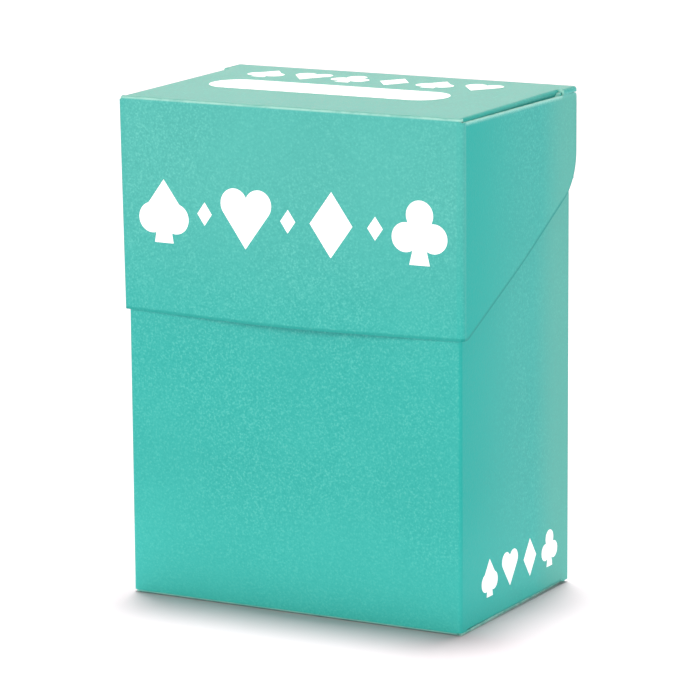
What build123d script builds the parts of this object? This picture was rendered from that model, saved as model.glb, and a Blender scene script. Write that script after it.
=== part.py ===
"""Flip-top deck box folded from one die-cut sheet of polypropylene, with a loose divider card.

The blank is modelled panel by panel: each wall, flap and tab is one ply of sheet, and the rounded
fold between two panels belongs to one of them. A thinned band across the back is the living hinge.
X runs along the front from left to right, Y from front to back, Z up. The origin is on the floor
under the middle of the closed box.
"""
from build123d import *
import math
import os

os.makedirs("parts", exist_ok=True)

# ---- Driving dimensions, millimetres ----
FRONT_HEIGHT = 98.0  # closed box, floor to the crease along the front of the lid's top
TOP_RISE = 0.6  # how much higher the lid's top stands at the back
BODY_WIDTH = 72.1  # outside the body's side walls
BODY_DEPTH = 46.2  # outside the body's front and back
SHEET = 0.5  # thickness of the polypropylene sheet
SIDE_GAP = 0.55  # clearance between the body's side walls and the lid's top, with the lid centred
FRONT_GAP = 0.2  # clearance between the body's front and the lid
BODY_SHIFT = 0.1  # how far to the right the body stands within the lid's clearance
PLY_GAP = 0.05  # between two plies of one body that lie on each other
UPRIGHT_FOLD = 0.75  # outside radius of the upright folds
LEVEL_FOLD = 0.65  # outside radius of the level folds
LAP = 0.3  # flat strip that a fold carries past each end of its curve

HINGE_HEIGHT = 80.0  # the crease across the back
HINGE_GROOVE = 1.2  # height of the thinned band
HINGE_WEB = 0.25  # thickness of the thinned band

LID_EDGE = 56.6  # lid's lower edge at the front corners
LID_EDGE_SAG = 0.35  # how much lower the edge is cut in the middle of the front
LID_BULGE = 1.6  # how far the lid's front bows out at the middle of its lower edge
LID_SPLAY = 0.7  # how much further out the lid's side flaps stand at the back
LID_LEAN = {"left": 0.6, "right": 0.0}  # how far a front fold of the lid leans in at its lower edge
EDGE_SLOPE = math.radians(27.9)  # rise of the lid's side edge from front to back
OVERLAP = 11.0  # how far the body's walls reach up inside the lid

BACK_FLAP_DEPTH = 20.0  # glue flaps folded forward from the body's back
BOTTOM_TAB_WIDTH = 14.0  # tabs folded in from the side walls, on the bottom panel
REAR_GLUE_HEIGHT = 12.0  # flap folded up from the bottom panel, inside the back
LID_FLAP_DEPTH = 13.0  # flaps folded forward from the lid's back, inside its side flaps
TOP_EAR_DEPTH = 6.0  # rear corners of the lid's top, which have a low lip and no tab
EAR_LIP_HEIGHT = 1.05  # lip bent down from each rear corner, above the side flap's edge
TOP_TAB_HEIGHT = 11.0  # tabs folded down from the lid's top, inside its side flaps

CARD_GAP = 0.25  # clearance around the loose divider
DIVIDER_WIDTH = 66.0
DIVIDER_HEIGHT = 91.5
DIVIDER_CORNER = 3.0

# ---- Places worked out from them ----
HEIGHT = FRONT_HEIGHT + TOP_RISE
SIDE = BODY_WIDTH / 2  # outer face of a body side wall, from the body's middle
BACK = (BODY_DEPTH + FRONT_GAP + SHEET + LID_BULGE) / 2  # outer face of the back
FRONT = BACK - BODY_DEPTH  # outer face of the body's front
LID_FRONT = FRONT - FRONT_GAP - SHEET  # outer face of the lid's front, at its folds
LID_SIDE = SIDE + SIDE_GAP + SHEET  # outer face of the lid's sides, at the front folds
BACK_SIDE = SIDE - SHEET - PLY_GAP  # outer face of the back's glue flaps
TOP_SIDE = LID_SIDE - SHEET - PLY_GAP  # outer face of the top's tabs
LID_BACK_SIDE = TOP_SIDE + LID_SPLAY  # outer face of the lid's inner flaps, at the back
HALF_SHEET = SHEET / 2
SECOND_PLY = SHEET + PLY_GAP  # height of a ply that lies on the bottom panel
UPRIGHT_END = UPRIGHT_FOLD + LAP  # from a corner to where an upright fold's ply ends
LEVEL_END = LEVEL_FOLD + LAP  # from a corner to where a level fold's ply ends
GROOVE_BOTTOM = HINGE_HEIGHT - HINGE_GROOVE / 2
GROOVE_TOP = HINGE_HEIGHT + HINGE_GROOVE / 2
FRONT_TOP = LID_EDGE + OVERLAP  # top edge of the body's front
WALL_TOP = GROOVE_BOTTOM - 0.4  # top edge of the side walls, at the back
GLUE_FLAP_FACE = BACK - SHEET - PLY_GAP  # outer face of the rear glue flap
TAB_FIRST = FRONT + 2.5  # front end of the bottom tabs
TAB_LAST = BACK - 3.0  # rear end of the bottom tabs
TAB_FOLD_TOP = SECOND_PLY + LEVEL_END  # where the bottom tabs' folds meet the side walls
WALL_REAR = BACK - 0.4  # rear edge of the side walls
TOP_TILT = math.atan2(TOP_RISE, BACK - LID_FRONT)
TOP_TAB_FIRST = 1.0  # front end of the top's tabs, behind the front crease
EAR_SIDE = LID_SIDE + LID_SPLAY - 0.04  # outer face of the lips
RIM = FRONT_HEIGHT - 0.65  # top edge of the lid's side flaps, at the front
LID_FRONT_LOW = LID_EDGE - LID_EDGE_SAG  # lowest point of the lid's front
LID_FRONT_TOP = FRONT_HEIGHT - LEVEL_END  # where the lid's front meets the crease of its top
WIDE = 200.0  # past every part, for cutting outlines
CLEAR = 1.0  # past the sheet, where an outline starts or ends beside it

# The lid is centred on the origin and the body stands a little to the right of it.
BODY_PLAN = Plane(origin=(BODY_SHIFT, 0, 0))
BODY_SECTION = Plane(origin=(BODY_SHIFT, 0, 0), x_dir=(0, 1, 0), z_dir=(1, 0, 0))
BODY_ELEVATION = Plane(origin=(BODY_SHIFT, 0, 0), x_dir=(1, 0, 0), z_dir=(0, -1, 0))
# The lid's top is a plane that tilts up towards the back; on it, Y runs back from the front crease.
LID_TOP_PLAN = Plane(
    origin=(0, LID_FRONT, FRONT_HEIGHT),
    x_dir=(1, 0, 0),
    z_dir=(0, -math.sin(TOP_TILT), math.cos(TOP_TILT)),
)
TOP_LENGTH = (BACK - LID_FRONT) / math.cos(TOP_TILT)

SIDES = {"left": -1, "right": 1}


def lean(word, height):
    """How far in the lid's front fold on that side stands at a height."""
    return LID_LEAN[word] * (LID_FRONT_TOP - height) / (LID_FRONT_TOP - LID_FRONT_LOW)


def folded_strip(corners, fold):
    """In a sketch: one ply of sheet along its middle line, with round folds of that outside radius."""
    with BuildLine() as middle:
        FilletPolyline(*corners, radius=fold - HALF_SHEET)
    trace(middle.line, line_width=SHEET)


def rounded_outline(corners, radii):
    """In a sketch: a closed shape; each corner but the first and last is rounded to its radius."""
    with BuildLine() as outline:
        edge = FilletPolyline(*corners, radius=radii)
        Line(edge @ 1, edge @ 0)
    make_face(outline.edges())


def save(piece, name):
    """Labels a finished piece and writes it as its own STEP file."""
    piece.part.label = name
    export_step(piece.part, f"parts/{name}.step")


# ---- Body ----
def front_panel():
    with BuildPart() as piece:
        with BuildSketch(BODY_PLAN.offset(LEVEL_END)):
            with Locations((0, FRONT + HALF_SHEET)):
                Rectangle(2 * (SIDE - UPRIGHT_END), SHEET)
        extrude(amount=FRONT_TOP - LEVEL_END)
    return piece


def side_wall(side):
    """A side wall with the upright fold that joins it to the front."""
    corners = (
        (side * (SIDE - UPRIGHT_END), FRONT + HALF_SHEET),
        (side * (SIDE - HALF_SHEET), FRONT + HALF_SHEET),
        (side * (SIDE - HALF_SHEET), WALL_REAR),
    )
    slope_start = FRONT + UPRIGHT_FOLD + CLEAR
    slope_end = slope_start + (WALL_TOP - FRONT_TOP) / math.tan(EDGE_SLOPE)
    with BuildPart() as piece:
        with BuildSketch(BODY_PLAN):
            folded_strip(corners, UPRIGHT_FOLD)
        extrude(amount=HEIGHT)
        with BuildSketch(BODY_SECTION):
            rounded_outline(
                (
                    (FRONT - CLEAR, SECOND_PLY),
                    (FRONT - CLEAR, FRONT_TOP),
                    (slope_start, FRONT_TOP),
                    (slope_end, WALL_TOP),
                    (WALL_REAR, WALL_TOP),
                    (WALL_REAR, SECOND_PLY),
                ),
                [0.1, 2.0, 6.0, 1.5],
            )
            with Locations(((TAB_FIRST + TAB_LAST) / 2, TAB_FOLD_TOP / 2)):
                Rectangle(TAB_LAST - TAB_FIRST, TAB_FOLD_TOP, mode=Mode.SUBTRACT)
        extrude(amount=WIDE, both=True, mode=Mode.INTERSECT)
    return piece


def bottom_tab(side):
    """A tab with the level fold that joins it to a side wall; it lies on the bottom panel."""
    middle = SECOND_PLY + HALF_SHEET
    corners = (
        (side * (SIDE - HALF_SHEET), TAB_FOLD_TOP),
        (side * (SIDE - HALF_SHEET), middle),
        (side * (SIDE - BOTTOM_TAB_WIDTH), middle),
    )
    inward = Axis((0, 0, 0), (-side, 0, 0))
    with BuildPart() as piece:
        with BuildSketch(BODY_ELEVATION.offset(-TAB_LAST)):
            folded_strip(corners, LEVEL_FOLD)
        extrude(amount=TAB_LAST - TAB_FIRST)
        free_corners = piece.edges().filter_by(Axis.Z).group_by(inward)[-1]
        fillet(free_corners, radius=4.0)
    return piece


def bottom_panel():
    """The bottom, with the level fold that joins it to the front."""
    corners = (
        (FRONT + HALF_SHEET, LEVEL_END),
        (FRONT + HALF_SHEET, HALF_SHEET),
        (FRONT + 3.0, HALF_SHEET),
    )
    front = FRONT + LEVEL_FOLD
    rear = GLUE_FLAP_FACE - LEVEL_END
    front_half = SIDE - 0.3
    rear_half = SIDE - 1.0
    with BuildPart() as piece:
        with BuildSketch(BODY_SECTION):
            folded_strip(corners, LEVEL_FOLD)
        extrude(amount=SIDE - UPRIGHT_END, both=True)
        with BuildSketch(BODY_PLAN):
            Polygon(
                (-front_half, front),
                (front_half, front),
                (rear_half, rear),
                (-rear_half, rear),
                align=None,
            )
        extrude(amount=SHEET)
    return piece


def rear_glue_flap():
    """A flap folded up from the bottom panel and glued inside the back."""
    middle = GLUE_FLAP_FACE - HALF_SHEET
    corners = (
        (GLUE_FLAP_FACE - LEVEL_END, HALF_SHEET),
        (middle, HALF_SHEET),
        (middle, REAR_GLUE_HEIGHT),
    )
    with BuildPart() as piece:
        with BuildSketch(BODY_SECTION):
            folded_strip(corners, LEVEL_FOLD)
        extrude(amount=BACK_SIDE - UPRIGHT_END - CLEAR, both=True)
        top_corners = piece.edges().filter_by(Axis.Y).group_by(Axis.Z)[-1]
        fillet(top_corners, radius=4.0)
    return piece


def back_panel():
    foot = 0.1
    with BuildPart() as piece:
        with BuildSketch(BODY_PLAN.offset(foot)):
            with Locations((0, BACK - HALF_SHEET)):
                Rectangle(2 * (BACK_SIDE - UPRIGHT_END), SHEET)
        extrude(amount=GROOVE_BOTTOM - foot)
    return piece


def back_flap(side):
    """A glue flap folded forward from the back, inside a side wall."""
    foot = 0.1
    corners = (
        (side * (BACK_SIDE - UPRIGHT_END), BACK - HALF_SHEET),
        (side * (BACK_SIDE - HALF_SHEET), BACK - HALF_SHEET),
        (side * (BACK_SIDE - HALF_SHEET), BACK - BACK_FLAP_DEPTH),
    )
    with BuildPart() as piece:
        with BuildSketch(BODY_PLAN):
            folded_strip(corners, UPRIGHT_FOLD)
        extrude(amount=HEIGHT)
        with BuildSketch(BODY_SECTION):
            rounded_outline(
                (
                    (BACK + CLEAR, foot),
                    (BACK - 1.3, foot),
                    (BACK - 3.0, 2.4),
                    (BACK - BACK_FLAP_DEPTH, 4.0),
                    (BACK - BACK_FLAP_DEPTH, FRONT_TOP - 2.0),
                    (BACK - 3.5, GROOVE_BOTTOM - 1.0),
                    (BACK - UPRIGHT_FOLD, GROOVE_BOTTOM),
                    (BACK + CLEAR, GROOVE_BOTTOM),
                ),
                [0.5, 0.5, 2.0, 3.0, 2.0, 0.2],
            )
        extrude(amount=WIDE, both=True, mode=Mode.INTERSECT)
    return piece


def hinge_web():
    """The thinned band of sheet that the lid turns on."""
    with BuildPart() as piece:
        with BuildSketch(BODY_PLAN.offset(GROOVE_BOTTOM)):
            with Locations((0, BACK - HINGE_WEB / 2 - PLY_GAP)):
                Rectangle(2 * (BACK_SIDE - UPRIGHT_END), HINGE_WEB)
        extrude(amount=HINGE_GROOVE)
    return piece


# ---- Lid ----
def lid_front():
    """The lid's front: flat along the top fold, bowed outwards along its free lower edge."""
    half = LID_SIDE - UPRIGHT_END
    low_left = lean("left", LID_FRONT_LOW) - half
    low_right = half - lean("right", LID_FRONT_LOW)
    with BuildPart() as piece:
        with BuildSketch(Plane.XY.offset(LID_FRONT_LOW)):
            with BuildLine():
                outer = Spline(
                    (low_left, LID_FRONT),
                    (0, LID_FRONT - LID_BULGE),
                    (low_right, LID_FRONT),
                    tangents=[(1, 0), (1, 0)],
                )
                inner = Spline(
                    (low_left, LID_FRONT + SHEET),
                    (0, LID_FRONT + SHEET - LID_BULGE),
                    (low_right, LID_FRONT + SHEET),
                    tangents=[(1, 0), (1, 0)],
                )
                Line(outer @ 0, inner @ 0)
                Line(outer @ 1, inner @ 1)
            make_face()
        with BuildSketch(Plane.XY.offset(LID_FRONT_TOP)):
            with Locations((0, LID_FRONT + HALF_SHEET)):
                Rectangle(2 * half, SHEET)
        loft(ruled=True)
        with BuildSketch(Plane.XZ):
            with BuildLine():
                cut = ThreePointArc((-half, LID_EDGE), (0, LID_FRONT_LOW), (half, LID_EDGE))
                Polyline(cut @ 0, (-half, HEIGHT), (half, HEIGHT), cut @ 1)
            make_face()
        extrude(amount=WIDE, both=True, mode=Mode.INTERSECT)
    return piece


def lid_side_flap(side, word):
    """A side flap of the lid, with the upright fold that joins it to the lid's front."""
    rear = BACK - 0.5
    slope_start = LID_FRONT + 1.8
    rise = (rear - slope_start) * math.tan(EDGE_SLOPE)
    bow = 0.8  # how far the slanting edge bows downwards in the middle
    with BuildPart() as piece:
        for height in (LID_FRONT_LOW, HEIGHT):
            fold_side = LID_SIDE - lean(word, height)
            with BuildSketch(Plane.XY.offset(height)):
                folded_strip(
                    (
                        (side * (fold_side - UPRIGHT_END), LID_FRONT + HALF_SHEET),
                        (side * (fold_side - HALF_SHEET), LID_FRONT + HALF_SHEET),
                        (side * (LID_SIDE + LID_SPLAY - HALF_SHEET), rear),
                    ),
                    UPRIGHT_FOLD,
                )
        loft(ruled=True)
        with BuildSketch(Plane.YZ):
            rounded_outline(
                (
                    (LID_FRONT - CLEAR, LID_EDGE),
                    (slope_start, LID_EDGE),
                    ((slope_start + rear) / 2, LID_EDGE + rise / 2 - bow),
                    (rear, LID_EDGE + rise),
                    (rear, RIM + 0.1),
                    (rear - TOP_EAR_DEPTH, RIM + 0.1),
                    (LID_FRONT - CLEAR, RIM),
                ),
                [3.0, 180.0, 10.0, 0.8, 8.0],
            )
        extrude(amount=WIDE, both=True, mode=Mode.INTERSECT)
    return piece


def top_middle(along):
    """Y and Z of the middle of the top's thickness, that far behind the front crease."""
    return (
        LID_FRONT + along * math.cos(TOP_TILT) + HALF_SHEET * math.sin(TOP_TILT),
        FRONT_HEIGHT + along * math.sin(TOP_TILT) - HALF_SHEET * math.cos(TOP_TILT),
    )


def top_section(along):
    """A plane across the lid's top, that far behind the front crease, facing forwards."""
    return Plane(
        origin=LID_TOP_PLAN.from_local_coords((0, along, 0)),
        x_dir=(1, 0, 0),
        z_dir=-LID_TOP_PLAN.y_dir,
    )


def lid_top():
    """The lid's top, with the crease that joins it to the lid's front and a low lip at each rear corner."""
    half = TOP_SIDE - LEVEL_END
    crease_half = LID_SIDE - UPRIGHT_END
    over_rim = RIM + PLY_GAP
    first = LEVEL_FOLD + 0.1
    last = TOP_LENGTH - LEVEL_END - 0.01
    ear_half = LID_BACK_SIDE - LEVEL_END
    ear_first = TOP_LENGTH - TOP_EAR_DEPTH
    ear_last = TOP_LENGTH - 0.5
    crease = (
        (LID_FRONT + HALF_SHEET, LID_FRONT_TOP),
        top_middle(HALF_SHEET * (1 - math.sin(TOP_TILT)) / math.cos(TOP_TILT)),
        top_middle(first),
    )
    right_edge = (
        (TOP_SIDE, first),
        (TOP_SIDE, TOP_TAB_FIRST),
        (half, TOP_TAB_FIRST),
        (half, ear_first),
        (ear_half, ear_first),
        (ear_half, last),
    )
    left_edge = [(-x, y) for x, y in reversed(right_edge)]
    with BuildPart() as piece:
        with BuildSketch(Plane.YZ):
            folded_strip(crease, LEVEL_FOLD)
        extrude(amount=TOP_SIDE, both=True)
        with BuildSketch(Plane.XY.offset(over_rim)):
            for side in SIDES.values():
                with Locations((side * (crease_half + WIDE / 2), 0)):
                    Rectangle(WIDE, WIDE)
        extrude(amount=-CLEAR, mode=Mode.SUBTRACT)
        with BuildSketch(LID_TOP_PLAN.offset(-SHEET)):
            Polygon(*right_edge, *left_edge, align=None)
        extrude(amount=SHEET)
        for side in SIDES.values():
            with BuildSketch(top_section(ear_last)):
                folded_strip(
                    (
                        (side * ear_half, -HALF_SHEET),
                        (side * (EAR_SIDE - HALF_SHEET), -HALF_SHEET),
                        (side * (EAR_SIDE - HALF_SHEET), -EAR_LIP_HEIGHT),
                    ),
                    LEVEL_FOLD,
                )
            extrude(amount=ear_last - ear_first)
    return piece


def top_tab(side, word):
    """A tab folded down from the lid's top, inside a side flap."""
    tuck = lean(word, FRONT_HEIGHT - TOP_TAB_HEIGHT)
    corners = (
        (side * (TOP_SIDE - LEVEL_END), -HALF_SHEET),
        (side * (TOP_SIDE - HALF_SHEET), -HALF_SHEET),
        (side * (TOP_SIDE - HALF_SHEET - tuck), -TOP_TAB_HEIGHT),
    )
    last = TOP_LENGTH - TOP_EAR_DEPTH - 0.1
    with BuildPart() as piece:
        with BuildSketch(top_section(last)):
            folded_strip(corners, LEVEL_FOLD)
        extrude(amount=last - TOP_TAB_FIRST)
        across = piece.edges().filter_by(Axis.X, tolerance=2.0)
        fillet(across.sort_by(Axis.Z)[:2], radius=6.0)
    return piece


def lid_back():
    """The lid's back strip, with the crease that joins it to the lid's top."""
    corners = (
        (BACK - LEVEL_END, HEIGHT - HALF_SHEET - LEVEL_END * math.tan(TOP_TILT)),
        (BACK - HALF_SHEET, HEIGHT - HALF_SHEET),
        (BACK - HALF_SHEET, GROOVE_TOP),
    )
    with BuildPart() as piece:
        with BuildSketch(Plane.YZ):
            folded_strip(corners, LEVEL_FOLD)
        extrude(amount=LID_BACK_SIDE - UPRIGHT_END, both=True)
    return piece


def lid_inner_flap(side, word):
    """A flap folded forward from the lid's back, along the inside of the splayed side flap."""
    narrowing = (LID_SPLAY + lean(word, GROOVE_TOP)) * LID_FLAP_DEPTH / (BACK - LID_FRONT)
    under_ear = HEIGHT - SHEET - 0.12
    corners = (
        (side * (LID_BACK_SIDE - UPRIGHT_END), BACK - HALF_SHEET),
        (side * (LID_BACK_SIDE - HALF_SHEET), BACK - HALF_SHEET),
        (side * (LID_BACK_SIDE - HALF_SHEET - narrowing), BACK - LID_FLAP_DEPTH),
    )
    with BuildPart() as piece:
        with BuildSketch(Plane.XY):
            folded_strip(corners, UPRIGHT_FOLD)
        extrude(amount=HEIGHT)
        with BuildSketch(Plane.YZ):
            rounded_outline(
                (
                    (BACK + CLEAR, GROOVE_TOP),
                    (BACK - 3.0, GROOVE_TOP),
                    (BACK - LID_FLAP_DEPTH, GROOVE_TOP + 4.0),
                    (BACK - LID_FLAP_DEPTH, HEIGHT - 6.0),
                    (BACK - TOP_EAR_DEPTH - CLEAR, under_ear),
                    (BACK + CLEAR, under_ear),
                ),
                [2.0, 3.0, 3.0, 1.0],
            )
        extrude(amount=WIDE, both=True, mode=Mode.INTERSECT)
    return piece


# ---- Loose divider ----
def divider():
    """A plain card of the same sheet that stands behind the cards."""
    foot = SECOND_PLY + SHEET + CARD_GAP
    rear = GLUE_FLAP_FACE - SHEET - CARD_GAP
    with BuildPart() as piece:
        with BuildSketch(BODY_ELEVATION.offset(-rear)):
            with Locations((0, foot + DIVIDER_HEIGHT / 2)):
                RectangleRounded(DIVIDER_WIDTH, DIVIDER_HEIGHT, DIVIDER_CORNER)
        extrude(amount=SHEET)
    return piece


SINGLE_PIECES = (
    front_panel,
    bottom_panel,
    rear_glue_flap,
    back_panel,
    hinge_web,
    lid_front,
    lid_top,
    lid_back,
    divider,
)
BODY_PAIRS = (side_wall, bottom_tab, back_flap)
LID_PAIRS = (lid_side_flap, top_tab, lid_inner_flap)

for make in SINGLE_PIECES:
    save(make(), make.__name__)

for word, side in SIDES.items():
    for make in BODY_PAIRS:
        save(make(side), f"{word}_{make.__name__}")
    for make in LID_PAIRS:
        save(make(side, word), f"{word}_{make.__name__}")
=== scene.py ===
"""Card deck box folded from turquoise polypropylene: materials, printed ink, hinge, floor, light, camera.

Lengths are in metres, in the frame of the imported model: X along the front, Y to the back, Z up.
"""
import math

import bmesh
import bpy
from mathutils import Matrix, Vector
from mathutils.bvhtree import BVHTree


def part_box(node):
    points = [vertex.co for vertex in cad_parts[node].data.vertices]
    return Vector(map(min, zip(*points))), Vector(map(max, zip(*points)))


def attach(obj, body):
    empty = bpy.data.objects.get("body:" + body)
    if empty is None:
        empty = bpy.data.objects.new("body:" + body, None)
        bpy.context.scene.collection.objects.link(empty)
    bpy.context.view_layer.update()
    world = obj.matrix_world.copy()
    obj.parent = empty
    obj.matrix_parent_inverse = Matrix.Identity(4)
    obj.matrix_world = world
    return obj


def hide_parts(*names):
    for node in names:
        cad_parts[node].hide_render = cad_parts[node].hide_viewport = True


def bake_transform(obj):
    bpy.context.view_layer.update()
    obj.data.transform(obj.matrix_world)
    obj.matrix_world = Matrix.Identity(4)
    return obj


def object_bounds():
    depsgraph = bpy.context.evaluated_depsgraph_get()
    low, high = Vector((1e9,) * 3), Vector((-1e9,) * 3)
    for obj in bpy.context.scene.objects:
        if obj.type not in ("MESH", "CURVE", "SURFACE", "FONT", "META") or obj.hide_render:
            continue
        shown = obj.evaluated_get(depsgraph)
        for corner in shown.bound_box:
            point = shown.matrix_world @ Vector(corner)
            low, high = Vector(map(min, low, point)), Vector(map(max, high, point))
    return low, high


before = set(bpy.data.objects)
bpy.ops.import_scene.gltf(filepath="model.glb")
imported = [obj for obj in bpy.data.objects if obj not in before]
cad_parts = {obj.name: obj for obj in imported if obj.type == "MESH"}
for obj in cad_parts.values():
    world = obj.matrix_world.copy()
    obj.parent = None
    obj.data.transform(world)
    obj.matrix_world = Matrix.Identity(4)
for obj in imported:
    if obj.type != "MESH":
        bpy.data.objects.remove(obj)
cad_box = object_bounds()

MM = 0.001
SHEET = 0.5 * MM  # thickness of the sheet

# ---- Places on the box ----
lid_front_low, lid_front_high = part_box("lid_front")
web_low, web_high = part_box("hinge_web")
flap_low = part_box("right_lid_side_flap")[0]

LEFT_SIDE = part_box("left_side_wall")[0].x
RIGHT_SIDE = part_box("right_side_wall")[1].x
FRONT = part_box("front_panel")[0].y
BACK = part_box("back_panel")[1].y
TOP = cad_box[1].z
BODY_MIDDLE_X = (LEFT_SIDE + RIGHT_SIDE) / 2
BODY_MIDDLE_Y = (FRONT + BACK) / 2
HINGE_HEIGHT = (web_low.z + web_high.z) / 2

LID_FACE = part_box("lid_top")[0].y  # outer face of the lid's front, at the crease
LID_CREST = lid_front_high.z + 0.95 * MM  # height of the crease along the front of the lid's top
LIP_SAG = 0.35 * MM  # how much lower the lid's front edge is in the middle

FLAPS_FROM = RIGHT_SIDE + 0.4 * MM  # the lid's side flaps stand further out than this
FLAP_SLOPE = math.radians(27.9)  # rise of their lower edge, from front to back
FLAP_SLOPE_START = flap_low.y + 1.8 * MM
FLAP_SLOPE_END = BACK - 0.5 * MM
FLAP_SAG = 0.8 * MM  # how much lower that edge is in the middle of its rise

# ---- Colours ----
TURQUOISE = (0.044, 0.500, 0.450, 1)
TURQUOISE_DEEP = (0.040, 0.485, 0.438, 1)
# painted shade on the sides just behind the front folds
TURQUOISE_FOLD_SHADE = (0.004, 0.465, 0.415, 1)
# painted fill light towards the foot
TURQUOISE_FOOT_LIGHT = (0.07, 0.68, 0.62, 1)
# painted sheen on the front, growing towards the top
TURQUOISE_FRONT_SHEEN = (0.62, 0.70, 0.62, 1)
# painted shade along the free edges of the lid
TURQUOISE_EDGE_SHADE = (0.006, 0.33, 0.295, 1)
TURQUOISE_PIT = (0.020, 0.415, 0.375, 1)
TURQUOISE_FROST = (0.13, 0.64, 0.57, 1)
# painted sheen on the sides towards the rear corners
TURQUOISE_CORNER_SHEEN = (0.16, 0.53, 0.44, 1)
# pale stress whitening; on the creases, the foot and the flaps' top it is also a painted highlight
TURQUOISE_WHITENING_AND_HIGHLIGHT = (0.45, 0.84, 0.76, 1)
TURQUOISE_CUT = (0.22, 0.66, 0.58, 1)
INK_WHITE = (0.96, 0.98, 1.0, 1)
INK_WORN = (0.80, 0.93, 0.92, 1)
FLOOR_DARKER = (0.97, 0.78, 0.81, 1)
FLOOR_PALER = (0.98, 0.79, 0.82, 1)
WHITE = (1, 1, 1, 1)


# ---- Shader helpers ----
class Shader:
    """A node material with one Principled shader."""

    def __init__(self, name):
        self.material = bpy.data.materials.new(name)
        self.material.use_nodes = True
        self.tree = self.material.node_tree
        self.inputs = self.tree.nodes["Principled BSDF"].inputs
        self.place = self.add("ShaderNodeTexCoord").outputs["Object"]

    def add(self, kind, **settings):
        node = self.tree.nodes.new(kind)
        for key, value in settings.items():
            setattr(node, key, value)
        return node

    def feed(self, value, socket):
        """Links an output to a socket, or sets a plain value on it."""
        if isinstance(value, bpy.types.NodeSocket):
            self.tree.links.new(value, socket)
        else:
            socket.default_value = value

    def math(self, operation, first, second=0.0):
        node = self.add("ShaderNodeMath", operation=operation)
        self.feed(first, node.inputs[0])
        self.feed(second, node.inputs[1])
        return node.outputs[0]

    def product(self, first, *others):
        for other in others:
            first = self.math("MULTIPLY", first, other)
        return first

    def highest(self, first, *others):
        for other in others:
            first = self.math("MAXIMUM", first, other)
        return first

    def ramp(self, value, low, high, start=0.0, end=1.0):
        """A smooth step of value, from start at low to end at high."""
        node = self.add("ShaderNodeMapRange", interpolation_type="SMOOTHSTEP")
        for socket, number in zip(node.inputs[:5], (value, low, high, start, end)):
            self.feed(number, socket)
        return node.outputs[0]

    def noise(self, size, detail=2.0, roughness=0.5, seed=0.0):
        """Noise whose features are about size across."""
        node = self.add("ShaderNodeTexNoise", noise_dimensions="4D")
        self.feed(self.place, node.inputs["Vector"])
        node.inputs["W"].default_value = seed
        node.inputs["Scale"].default_value = 1 / size
        node.inputs["Detail"].default_value = detail
        node.inputs["Roughness"].default_value = roughness
        return node.outputs["Fac"]

    def axes(self):
        """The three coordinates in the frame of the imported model."""
        node = self.add("ShaderNodeSeparateXYZ")
        self.feed(self.place, node.inputs[0])
        return node.outputs

    def mix(self, factor, first, second):
        node = self.add("ShaderNodeMix", data_type="RGBA")
        self.feed(factor, node.inputs["Factor"])
        self.feed(first, node.inputs["A"])
        self.feed(second, node.inputs["B"])
        return node.outputs["Result"]

    def bump(self, height, distance, strength):
        node = self.add("ShaderNodeBump")
        node.inputs["Distance"].default_value = distance
        node.inputs["Strength"].default_value = strength
        self.feed(height, node.inputs["Height"])
        return node.outputs["Normal"]

    def near_edge(self, reach):
        """1 close to a sharp edge of the solid, 0 further than reach from it."""
        flat, turned = 0.985, 0.86  # how far the rounded normal agrees with the face's own
        rounded = self.add("ShaderNodeBevel", samples=6)
        rounded.inputs["Radius"].default_value = reach
        facing = self.add("ShaderNodeVectorMath", operation="DOT_PRODUCT")
        self.feed(rounded.outputs["Normal"], facing.inputs[0])
        self.feed(self.add("ShaderNodeNewGeometry").outputs["Normal"], facing.inputs[1])
        return self.ramp(facing.outputs["Value"], turned, flat, 1.0, 0.0)

    def near_line(self, first, first_at, second, second_at, reach):
        """1 on a straight line along the third axis, falling to 0 at reach from it."""
        across = self.math("SUBTRACT", first, first_at)
        along = self.math("SUBTRACT", second, second_at)
        square = self.math("ADD", self.product(across, across), self.product(along, along))
        return self.ramp(self.math("SQRT", square), 0.3 * reach, reach, 1.0, 0.0)


# ---- The sheet's material ----
def grained(shader, grain):
    """The plain sheet: two close tones in clouds, with the pits and pale specks of its sand grain."""
    cloud = shader.noise(14 * MM, detail=3.0, seed=1.0)
    patches = shader.ramp(shader.noise(26 * MM, detail=1.0, seed=3.0), 0.3, 0.7, 0.45, 0.9)
    pits = shader.ramp(grain, 0.32, 0.52, 0.75, 0.0)
    specks = shader.ramp(grain, 0.50, 0.72, 0.0, 0.72)
    color = shader.mix(shader.ramp(cloud, 0.35, 0.65), TURQUOISE_DEEP, TURQUOISE)
    color = shader.mix(shader.product(pits, patches), color, TURQUOISE_PIT)
    return shader.mix(shader.product(specks, patches), color, TURQUOISE_FROST)


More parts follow.
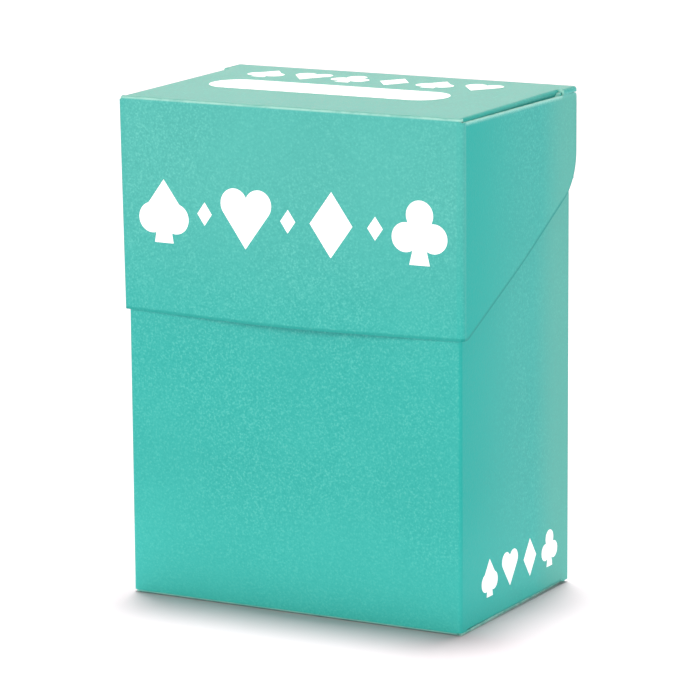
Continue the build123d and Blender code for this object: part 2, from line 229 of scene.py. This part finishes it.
def painted_lighting(shader, color):
    """Painted shade behind the front folds, painted fill light at the foot, a painted sheen on the front and
    a painted sheen towards the rear corners.
    """
    x, y, z = shader.axes()
    across = shader.math("ABSOLUTE", x)
    on_side = shader.ramp(across, RIGHT_SIDE - 0.6 * MM, RIGHT_SIDE - 0.3 * MM)

    # Painted shade on the sides, deepest just behind the front folds.
    painted_fold_shade = shader.ramp(y, FRONT, FRONT + 27 * MM, 0.95, 0.0)
    past_fold = shader.ramp(y, FRONT - 0.4 * MM, FRONT + 0.9 * MM, 0.3, 1.0)
    color = shader.mix(shader.product(on_side, painted_fold_shade, past_fold), color, TURQUOISE_FOLD_SHADE)

    # Painted fill light, paler towards the foot.
    painted_foot_light = shader.ramp(z, 0.0, 30 * MM, 0.42, 0.0)
    color = shader.mix(painted_foot_light, color, TURQUOISE_FOOT_LIGHT)

    # Painted sheen on the front, paler towards its top.
    on_front = shader.ramp(y, FRONT + 0.1 * MM, FRONT + 0.6 * MM, 1.0, 0.0)
    painted_front_sheen = shader.ramp(z, lid_front_low.z - 10 * MM, lid_front_high.z - 10 * MM, 0.0, 0.075)
    color = shader.mix(shader.product(on_front, painted_front_sheen), color, TURQUOISE_FRONT_SHEEN)

    # Painted sheen on the sides, paler towards the rear corners and below the top.
    painted_corner_sheen = shader.near_line(across, RIGHT_SIDE, y, BACK, reach=17 * MM)
    below_top = shader.ramp(z, TOP - 1.6 * MM, TOP - 1.2 * MM, 0.46, 0.0)
    return shader.mix(shader.product(painted_corner_sheen, on_side, below_top), color, TURQUOISE_CORNER_SHEEN)


def creased(shader, color):
    """Uneven stress whitening with a painted highlight along the lid's front and rear creases and the fold
    at the foot, and whitening along the living hinge.
    """
    _, y, z = shader.axes()
    inset = 0.15 * MM  # the middle of a fold lies this far inside the outer faces
    front_crease = shader.near_line(y, LID_FACE + inset, z, LID_CREST - inset, reach=0.42 * MM)
    rear_crease = shader.near_line(y, BACK - inset, z, TOP - inset, reach=0.5 * MM)
    foot = shader.near_line(y, FRONT + inset, z, inset, reach=0.5 * MM)
    hinge_line = shader.near_line(y, BACK - 0.05 * MM, z, HINGE_HEIGHT, reach=0.9 * MM)
    # Stress whitening; along the creases and the foot it is also a painted highlight.
    whitening_and_highlight = shader.highest(front_crease, rear_crease, foot, shader.product(hinge_line, 0.45))
    uneven = shader.ramp(shader.noise(3 * MM, detail=4.0, seed=4.0), 0.3, 0.6, 0.45, 0.9)
    return shader.mix(shader.product(whitening_and_highlight, uneven), color, TURQUOISE_WHITENING_AND_HIGHLIGHT)


def flap_edge_height(shader, y):
    """Height of the lower edge of the lid's side flaps: level, then two slopes that meet at its sag."""
    half_run = (FLAP_SLOPE_END - FLAP_SLOPE_START) / 2
    half_rise = half_run * math.tan(FLAP_SLOPE)
    middle_y = FLAP_SLOPE_START + half_run
    middle_z = flap_low.z + half_rise - FLAP_SAG
    height = flap_low.z
    for rise in (half_rise - FLAP_SAG, half_rise + FLAP_SAG):
        slope = rise / half_run
        straight = shader.math("ADD", shader.product(y, slope), middle_z - middle_y * slope)
        height = shader.highest(straight, height)
    return height


def edge_shaded(shader, color):
    """Painted shade along the lower edge of the lid's front and the free edges of the side flaps, and
    whitening with a painted highlight at the flaps' top.
    """
    x, y, z = shader.axes()
    # Painted shade along the lower edge of the lid's front, where it stands off the body.
    lip_rise = shader.product(x, x, LIP_SAG / RIGHT_SIDE ** 2)
    above_lip = shader.math("SUBTRACT", shader.math("SUBTRACT", z, lid_front_low.z), lip_rise)
    lip_shade = shader.ramp(above_lip, 0.3 * MM, 0.7 * MM, 0.62, 0.0)
    on_lid_front = shader.ramp(y, FRONT - 0.15 * MM, FRONT - 0.05 * MM, 1.0, 0.0)
    color = shader.mix(shader.product(lip_shade, on_lid_front), color, TURQUOISE_EDGE_SHADE)

    # Painted shade along the side flaps' free edges; at their top it turns to whitening with a painted
    # highlight.
    on_flap = shader.ramp(shader.math("ABSOLUTE", x), FLAPS_FROM - 0.1 * MM, FLAPS_FROM + 0.1 * MM)
    clear_of_ears = shader.ramp(y, BACK - 7 * MM, BACK - 6 * MM, 1.0, 0.25)
    clear_of_fold = shader.ramp(y, flap_low.y + 0.6 * MM, flap_low.y + 1.6 * MM)
    outline = shader.product(shader.near_edge(1.3 * MM), on_flap, clear_of_ears, clear_of_fold)
    above_edge = shader.math("SUBTRACT", z, flap_edge_height(shader, y))
    lower_edge = shader.ramp(above_edge, 0.15 * MM, 0.7 * MM, 1.0, 0.0)
    edge = shader.highest(outline, shader.product(lower_edge, on_flap))
    at_rim = shader.ramp(z, lid_front_high.z - 2 * MM, lid_front_high.z - 1 * MM)
    edge_shade_color = shader.mix(at_rim, TURQUOISE_EDGE_SHADE, TURQUOISE_WHITENING_AND_HIGHLIGHT)
    return shader.mix(shader.product(edge, 0.9), color, edge_shade_color)


def sheet_material():
    """Frosted polypropylene: its sand grain, painted light and shade, its creases and its edges."""
    shader = Shader("frosted_polypropylene")
    grain = shader.noise(0.36 * MM, detail=1.5, roughness=0.55, seed=2.0)
    color = grained(shader, grain)
    for layer in (painted_lighting, creased, edge_shaded):
        color = layer(shader, color)
    shader.feed(color, shader.inputs["Base Color"])
    shader.feed(shader.ramp(grain, 0.3, 0.7, 0.40, 0.52), shader.inputs["Roughness"])
    shader.inputs["Specular IOR Level"].default_value = 0.22
    shader.feed(shader.bump(grain, 0.06 * MM, 0.8), shader.inputs["Normal"])
    return shader.material


# ---- Other materials ----
def cut_edge_material():
    """The die-cut edge of the sheet: paler and rougher than its faces, with a fine scratchy grain."""
    shader = Shader("cut_edge_polypropylene")
    nicks = shader.noise(1.5 * MM, detail=5.0, seed=5.0)
    scratches = shader.noise(0.15 * MM, seed=6.0)
    color = shader.mix(shader.ramp(nicks, 0.35, 0.65), TURQUOISE_CUT, TURQUOISE_WHITENING_AND_HIGHLIGHT)
    shader.feed(color, shader.inputs["Base Color"])
    shader.feed(shader.ramp(nicks, 0.3, 0.7, 0.45, 0.6), shader.inputs["Roughness"])
    shader.inputs["Specular IOR Level"].default_value = 0.3
    shader.feed(shader.bump(scratches, 0.03 * MM, 0.5), shader.inputs["Normal"])
    return shader.material


def ink_material():
    """Screen-printed white ink, a little rubbed and grainy. A faint glow keeps it white in the shade."""
    shader = Shader("white_screen_ink")
    rub = shader.noise(0.5 * MM, detail=4.0, roughness=0.6, seed=7.0)
    color = shader.mix(shader.ramp(rub, 0.62, 0.8), INK_WHITE, INK_WORN)
    shader.feed(color, shader.inputs["Base Color"])
    shader.feed(shader.ramp(rub, 0.3, 0.7, 0.35, 0.5), shader.inputs["Roughness"])
    shader.feed(shader.bump(rub, 0.02 * MM, 0.3), shader.inputs["Normal"])
    shader.inputs["Emission Color"].default_value = WHITE
    shader.inputs["Emission Strength"].default_value = 0.22
    return shader.material


def floor_material():
    """A matt floor, redder than white, which makes up for the turquoise light that the box throws on it."""
    shader = Shader("pale_floor")
    tone = shader.noise(0.6, detail=2.0, seed=8.0)
    shader.feed(shader.mix(tone, FLOOR_DARKER, FLOOR_PALER), shader.inputs["Base Color"])
    shader.inputs["Roughness"].default_value = 1.0
    shader.inputs["Specular IOR Level"].default_value = 0.0
    return shader.material


sheet_plastic = sheet_material()
cut_plastic = cut_edge_material()
white_ink = ink_material()


# ---- The folded sheet ----
def tree_of(node):
    """The faces of a CAD panel, ready for rays to be cast at them."""
    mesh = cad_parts[node].data
    return BVHTree.FromPolygons([v.co for v in mesh.vertices], [p.vertices for p in mesh.polygons])


def is_cut_edge(tree, polygon):
    """Whether the solid behind this face is much deeper than the sheet is thick."""
    just_inside = polygon.center - polygon.normal * 0.01 * MM
    depth = tree.ray_cast(just_inside, -polygon.normal)[3]
    return depth is not None and depth > 1.6 * SHEET


def dress_sheet(node):
    """Gives a CAD panel the frosted sheet, and its die-cut edges the paler cut material."""
    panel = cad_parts[node]
    tree = tree_of(node)
    panel.data.materials.clear()
    panel.data.materials.append(sheet_plastic)
    panel.data.materials.append(cut_plastic)
    for polygon in panel.data.polygons:
        polygon.material_index = int(is_cut_edge(tree, polygon))


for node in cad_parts:
    dress_sheet(node)


# ---- Mesh helpers ----
def finished_mesh(name, mesh, material):
    """Turns a bmesh into an object with one material, shaded smooth over soft angles."""
    bmesh.ops.recalc_face_normals(mesh, faces=mesh.faces)
    data = bpy.data.meshes.new(name)
    mesh.to_mesh(data)
    mesh.free()
    data.materials.append(material)
    data.shade_smooth()
    data.set_sharp_from_angle(angle=math.radians(35))
    piece = bpy.data.objects.new(name, data)
    bpy.context.scene.collection.objects.link(piece)
    return piece


def join_rings(mesh, first, second):
    """A closed band of faces between two rings with the same number of vertices."""
    for at in range(len(first)):
        following = (at + 1) % len(first)
        mesh.faces.new((first[at], second[at], second[following], first[following]))


# ---- Living hinge ----
def living_hinge():
    """The thinned band across the back, fine enough to bend round smoothly as the lid opens."""
    rows = 16
    flare = 0.05 * MM  # each face stands out by this much where the band meets the full sheet
    middle = (web_low.y + web_high.y) / 2
    half_web = (web_high.y - web_low.y) / 2
    mesh = bmesh.new()
    rings = []
    for row in range(rows + 1):
        share = row / rows
        half = half_web + flare * (2 * share - 1) ** 8
        z = web_low.z + share * (web_high.z - web_low.z)
        corners = (
            (web_low.x, middle - half),
            (web_high.x, middle - half),
            (web_high.x, middle + half),
            (web_low.x, middle + half),
        )
        rings.append([mesh.verts.new((x, y, z)) for x, y in corners])
    for below, above in zip(rings, rings[1:]):
        join_rings(mesh, above, below)
    mesh.faces.new(list(reversed(rings[0])))
    mesh.faces.new(rings[-1])
    return finished_mesh("living_hinge", mesh, sheet_plastic)


hinge = living_hinge()
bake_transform(hinge)
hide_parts("hinge_web")


# ---- Outlines of the printed shapes ----
OUTLINE_POINTS = 96  # points round a printed shape
PARALLEL = 1e-12  # a ray and a side whose cross product is smaller than this never meet
SLACK = 1e-9  # share of a side's length by which a ray may pass its ends


def points(*pairs):
    return [Vector(pair) for pair in pairs]


def circle_reach(heading, center, radius):
    """How far along heading, from the origin, a circle reaches; 0 where the ray misses it."""
    along = heading.dot(center)
    inside = radius ** 2 - center.length_squared + along ** 2
    if inside < 0:
        return 0.0
    return max(along + math.sqrt(inside), 0.0)


def polygon_reach(heading, corners):
    """How far along heading, from the origin, a polygon reaches; 0 where the ray misses it."""
    reach = 0.0
    for first, second in zip(corners, corners[1:] + corners[:1]):
        edge = second - first
        across = heading.x * edge.y - heading.y * edge.x
        if abs(across) < PARALLEL:
            continue
        distance = (first.x * edge.y - first.y * edge.x) / across
        share = (first.x * heading.y - first.y * heading.x) / across
        if distance > 0 and -SLACK <= share <= 1 + SLACK:
            reach = max(reach, distance)
    return reach


def stem():
    """The flared foot of a spade or a club, going round: its right half, then its left."""
    right = points((0.0, -0.5), (0.19, -0.5), (0.075, -0.38), (0.045, 0.0), (0.0, 0.0))
    return right + [Vector((-corner.x, corner.y)) for corner in reversed(right) if corner.x > 0]


def heart_parts(way):
    """Two round lobes and the taper to the tip; way is 1 for a heart, -1 for one upside down."""
    lobe, spread, lift, tip = 0.235, 0.212, 0.2, -0.48
    reach = math.hypot(spread, lift - tip)
    lean = math.asin(lobe / reach) + math.atan2(spread, lift - tip)
    run = math.sqrt(reach ** 2 - lobe ** 2)
    touch_x = run * math.sin(lean)
    touch_y = way * (tip + run * math.cos(lean))
    lobes = [(center, lobe) for center in points((spread, way * lift), (-spread, way * lift))]
    return lobes, [points((0, way * tip), (touch_x, touch_y), (0, way * lift), (-touch_x, touch_y))]


def suit(kind):
    """Circles and polygons whose union is a pip about one unit high, around its middle."""
    if kind == "diamond":
        return [], [points((0, -0.5), (0.36, 0), (0, 0.5), (-0.36, 0))]
    if kind == "heart":
        return heart_parts(1)
    if kind == "spade":
        lobes, tapers = heart_parts(-1)
        raised = Vector((0, 0.08))
        return [(center + raised, radius) for center, radius in lobes], tapers + [stem()]
    leaves = [(center, 0.225) for center in points((0, 0.25), (0.235, -0.09), (-0.235, -0.09))]
    return leaves + [(Vector((0, 0.02)), 0.13)], [stem()]


def pip(kind, size):
    """Outline of a pip of that height, as points round its middle."""
    circles, polygons = suit(kind)
    outline = []
    for step in range(OUTLINE_POINTS):
        angle = 2 * math.pi * step / OUTLINE_POINTS
        heading = Vector((math.cos(angle), math.sin(angle)))
        reaches = [circle_reach(heading, center, radius) for center, radius in circles]
        reaches += [polygon_reach(heading, corners) for corners in polygons]
        outline.append(heading * max(reaches) * size)
    return outline


def pip_row(kinds, sizes, spacing):
    """Pips in a row, evenly spaced about the middle, as (outline, middle) pairs."""
    first = -(len(kinds) - 1) / 2
    return [
        (pip(kind, size), Vector(((first + at) * spacing, 0)))
        for at, (kind, size) in enumerate(zip(kinds, sizes))
    ]


def bar(length, width):
    """Outline of a strip with round ends."""
    radius = width / 2
    straight = length / 2 - radius
    end_points = OUTLINE_POINTS // 2
    outline = []
    for end in (1, -1):
        for step in range(end_points):
            angle = math.pi * (step / (end_points - 1) - 0.5)
            outline.append(end * Vector((straight + radius * math.cos(angle), radius * math.sin(angle))))
    return outline


# ---- Printed ink ----
INK_TOP = 0.035 * MM  # how far the ink stands off the sheet
INK_UNDERSIDE = -0.01 * MM  # its underside lies just inside the sheet
INK_RINGS = (0.3, 0.6, 0.85, 1.0)  # rings of vertices, as shares of the way from the middle to the outline
RAY_START = 5 * MM  # the rays that find the sheet start this far outside it
RIGHT = Vector((1, 0, 0))
BACKWARD = Vector((0, 1, 0))
UP = Vector((0, 0, 1))


def ink_face(mesh, place, outline, middle):
    """One side of a printed shape; place puts its flat points on the sheet. Returns the outer ring."""
    center = mesh.verts.new(place(middle))
    rings = [[mesh.verts.new(place(middle + share * point)) for point in outline] for share in INK_RINGS]
    for at, vert in enumerate(rings[0]):
        mesh.faces.new((center, vert, rings[0][(at + 1) % len(outline)]))
    for inner, outer in zip(rings, rings[1:]):
        join_rings(mesh, inner, outer)
    return rings[-1]


def printed(name, node, body, shapes, origin, across, up):
    """Thin closed pieces of ink on a CAD panel. shapes are (outline, middle) pairs, along across and up."""
    tree = tree_of(node)
    inward = up.cross(across)
    mesh = bmesh.new()

    def on_sheet(flat, lift):
        above = origin + across * flat.x + up * flat.y - inward * RAY_START
        return tree.ray_cast(above, inward)[0] - inward * lift

    for outline, middle in shapes:
        top = ink_face(mesh, lambda flat: on_sheet(flat, INK_TOP), outline, middle)
        under = ink_face(mesh, lambda flat: on_sheet(flat, INK_UNDERSIDE), outline, middle)
        join_rings(mesh, top, under)
    piece = finished_mesh(name, mesh, white_ink)
    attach(piece, body)


BIG, SMALL = 12.5 * MM, 4.5 * MM
printed(
    "lid_front_pips",
    node="lid_front",
    body="lid",
    shapes=pip_row(
        ["spade", "diamond", "heart", "diamond", "diamond", "diamond", "club"],
        [BIG, SMALL, BIG, SMALL, BIG, SMALL, BIG],
        spacing=9.2 * MM,
    ),
    origin=Vector((BODY_MIDDLE_X + 0.35 * MM, LID_FACE, LID_CREST - 21.5 * MM)),
    across=RIGHT,
    up=UP,
)
printed(
    "lid_top_strip",
    node="lid_top",
    body="lid",
    shapes=[(bar(length=51.5 * MM, width=11.0 * MM), Vector((0, 0)))],
    origin=Vector((BODY_MIDDLE_X - 3.85 * MM, BODY_MIDDLE_Y - 1.0 * MM, LID_CREST)),
    across=RIGHT,
    up=BACKWARD,
)
printed(
    "lid_top_pips",
    node="lid_top",
    body="lid",
    shapes=pip_row(
        ["spade", "heart", "club", "diamond", "spade", "heart"],
        [8.8 * MM] * 6,
        spacing=9.4 * MM,
    ),
    origin=Vector((BODY_MIDDLE_X - 1.75 * MM, BODY_MIDDLE_Y + 13.2 * MM, LID_CREST)),
    across=RIGHT,
    up=BACKWARD,
)
printed(
    "side_wall_pips",
    node="right_side_wall",
    body="box_body",
    shapes=pip_row(["spade", "heart", "diamond", "club"], [7.5 * MM] * 4, spacing=8.6 * MM),
    origin=Vector((RIGHT_SIDE, BODY_MIDDLE_Y + 1.6 * MM, 8.8 * MM)),
    across=BACKWARD,
    up=UP,
)


# ---- Floor and light ----
BOX_MIDDLE = (0, 0, 0.05)
LOW_ON_THE_SIDE = (0.037, 0.0, 0.02)
WARM = (1.0, 0.95, 0.84)
LESS_WARM = (1.0, 0.96, 0.86)
COOL = (0.88, 1.0, 0.99)  # brings the reddish floor back to white


def floor():
    mesh = bmesh.new()
    bmesh.ops.create_grid(mesh, x_segments=8, y_segments=8, size=4.0)
    return finished_mesh("floor", mesh, floor_material())


def group(name, objects):
    collection = bpy.data.collections.new(name)
    for piece in objects:
        collection.objects.link(piece)
    return collection


def hang_light(name, data, direction, color, lights_up):
    """Adds a light that shines from direction and reaches only the objects in lights_up."""
    data.color = color
    light = bpy.data.objects.new(name, data)
    light.rotation_euler = direction.to_track_quat("Z", "Y").to_euler()
    light.light_linking.receiver_collection = lights_up
    bpy.context.scene.collection.objects.link(light)
    return light


def softbox(name, position, target, size, power, color=WARM):
    """A rectangular light that faces target and reaches only the box."""
    data = bpy.data.lights.new(name, "AREA")
    data.shape = "RECTANGLE"
    data.size, data.size_y = size
    data.energy = power
    light = hang_light(name, data, Vector(position) - Vector(target), color, pieces)
    light.location = position
    light.visible_camera = False


def sun(name, direction, spread, strength):
    """A soft distant light, spread degrees wide, that reaches only the floor."""
    data = bpy.data.lights.new(name, "SUN")
    data.angle = math.radians(spread)
    data.energy = strength
    hang_light(name, data, Vector(direction), COOL, stand)


def world_light(strength):
    """Plain white surroundings."""
    world = bpy.data.worlds.new("studio")
    world.use_nodes = True
    background = world.node_tree.nodes["Background"]
    background.inputs["Color"].default_value = WHITE
    background.inputs["Strength"].default_value = strength
    bpy.context.scene.world = world


pieces = group("box_pieces", [o for o in bpy.context.scene.objects if o.type == "MESH"])
ground = floor()
stand = group("stand", [ground])
world_light(0.32)
softbox("key_light", position=(-0.50, -0.85, 0.48), target=BOX_MIDDLE, size=(0.45, 0.35), power=4.35)
softbox("back_light", position=(-0.35, 1.0, 0.35), target=BOX_MIDDLE, size=(1.4, 0.7), power=7.0)
softbox("top_light", position=(0.2, -0.1, 1.2), target=BOX_MIDDLE, size=(0.6, 0.6), power=4.2)
softbox(
    "side_light",
    position=(0.75, -0.25, 0.22),
    target=LOW_ON_THE_SIDE,
    size=(0.6, 0.5),
    power=1.5,
    color=LESS_WARM,
)
sun("floor_light", direction=(-0.08, 0.155, 1.4), spread=14, strength=3.6)


# ---- Camera ----
AZIMUTH = math.radians(28.857)  # how far to the right of the front the camera stands
ELEVATION = math.radians(11.49)  # how far down it looks
ROLL = math.radians(-0.422)
DISTANCE = 778.35 * MM
SHIFT_RIGHT = 0.163 * MM  # small shifts that put the box where it is in the picture
SHIFT_DOWN = 1.569 * MM
FOCAL_LENGTH = 205.9  # this and the sensor's width are in mm
SENSOR_WIDTH = 36.0


def main_camera():
    """A long lens, a little above the box and to its right."""
    target = Vector((BODY_MIDDLE_X - 0.25 * MM, BODY_MIDDLE_Y, 49 * MM))
    forward = Vector((
        -math.sin(AZIMUTH) * math.cos(ELEVATION),
        math.cos(AZIMUTH) * math.cos(ELEVATION),
        -math.sin(ELEVATION),
    ))
    right = Vector((math.cos(AZIMUTH), math.sin(AZIMUTH), 0))
    up = right.cross(forward)
    rolled_right = right * math.cos(ROLL) + up * math.sin(ROLL)
    rolled_up = up * math.cos(ROLL) - right * math.sin(ROLL)
    data = bpy.data.cameras.new("camera")
    data.sensor_width = SENSOR_WIDTH
    data.lens = FOCAL_LENGTH
    data.clip_end = 20.0
    camera = bpy.data.objects.new("camera", data)
    camera.matrix_world = Matrix((rolled_right, rolled_up, -forward)).transposed().to_4x4()
    camera.location = target - forward * DISTANCE + right * SHIFT_RIGHT - up * SHIFT_DOWN
    bpy.context.scene.collection.objects.link(camera)
    bpy.context.scene.camera = camera


main_camera()
bpy.context.scene.view_settings.view_transform = "Standard"
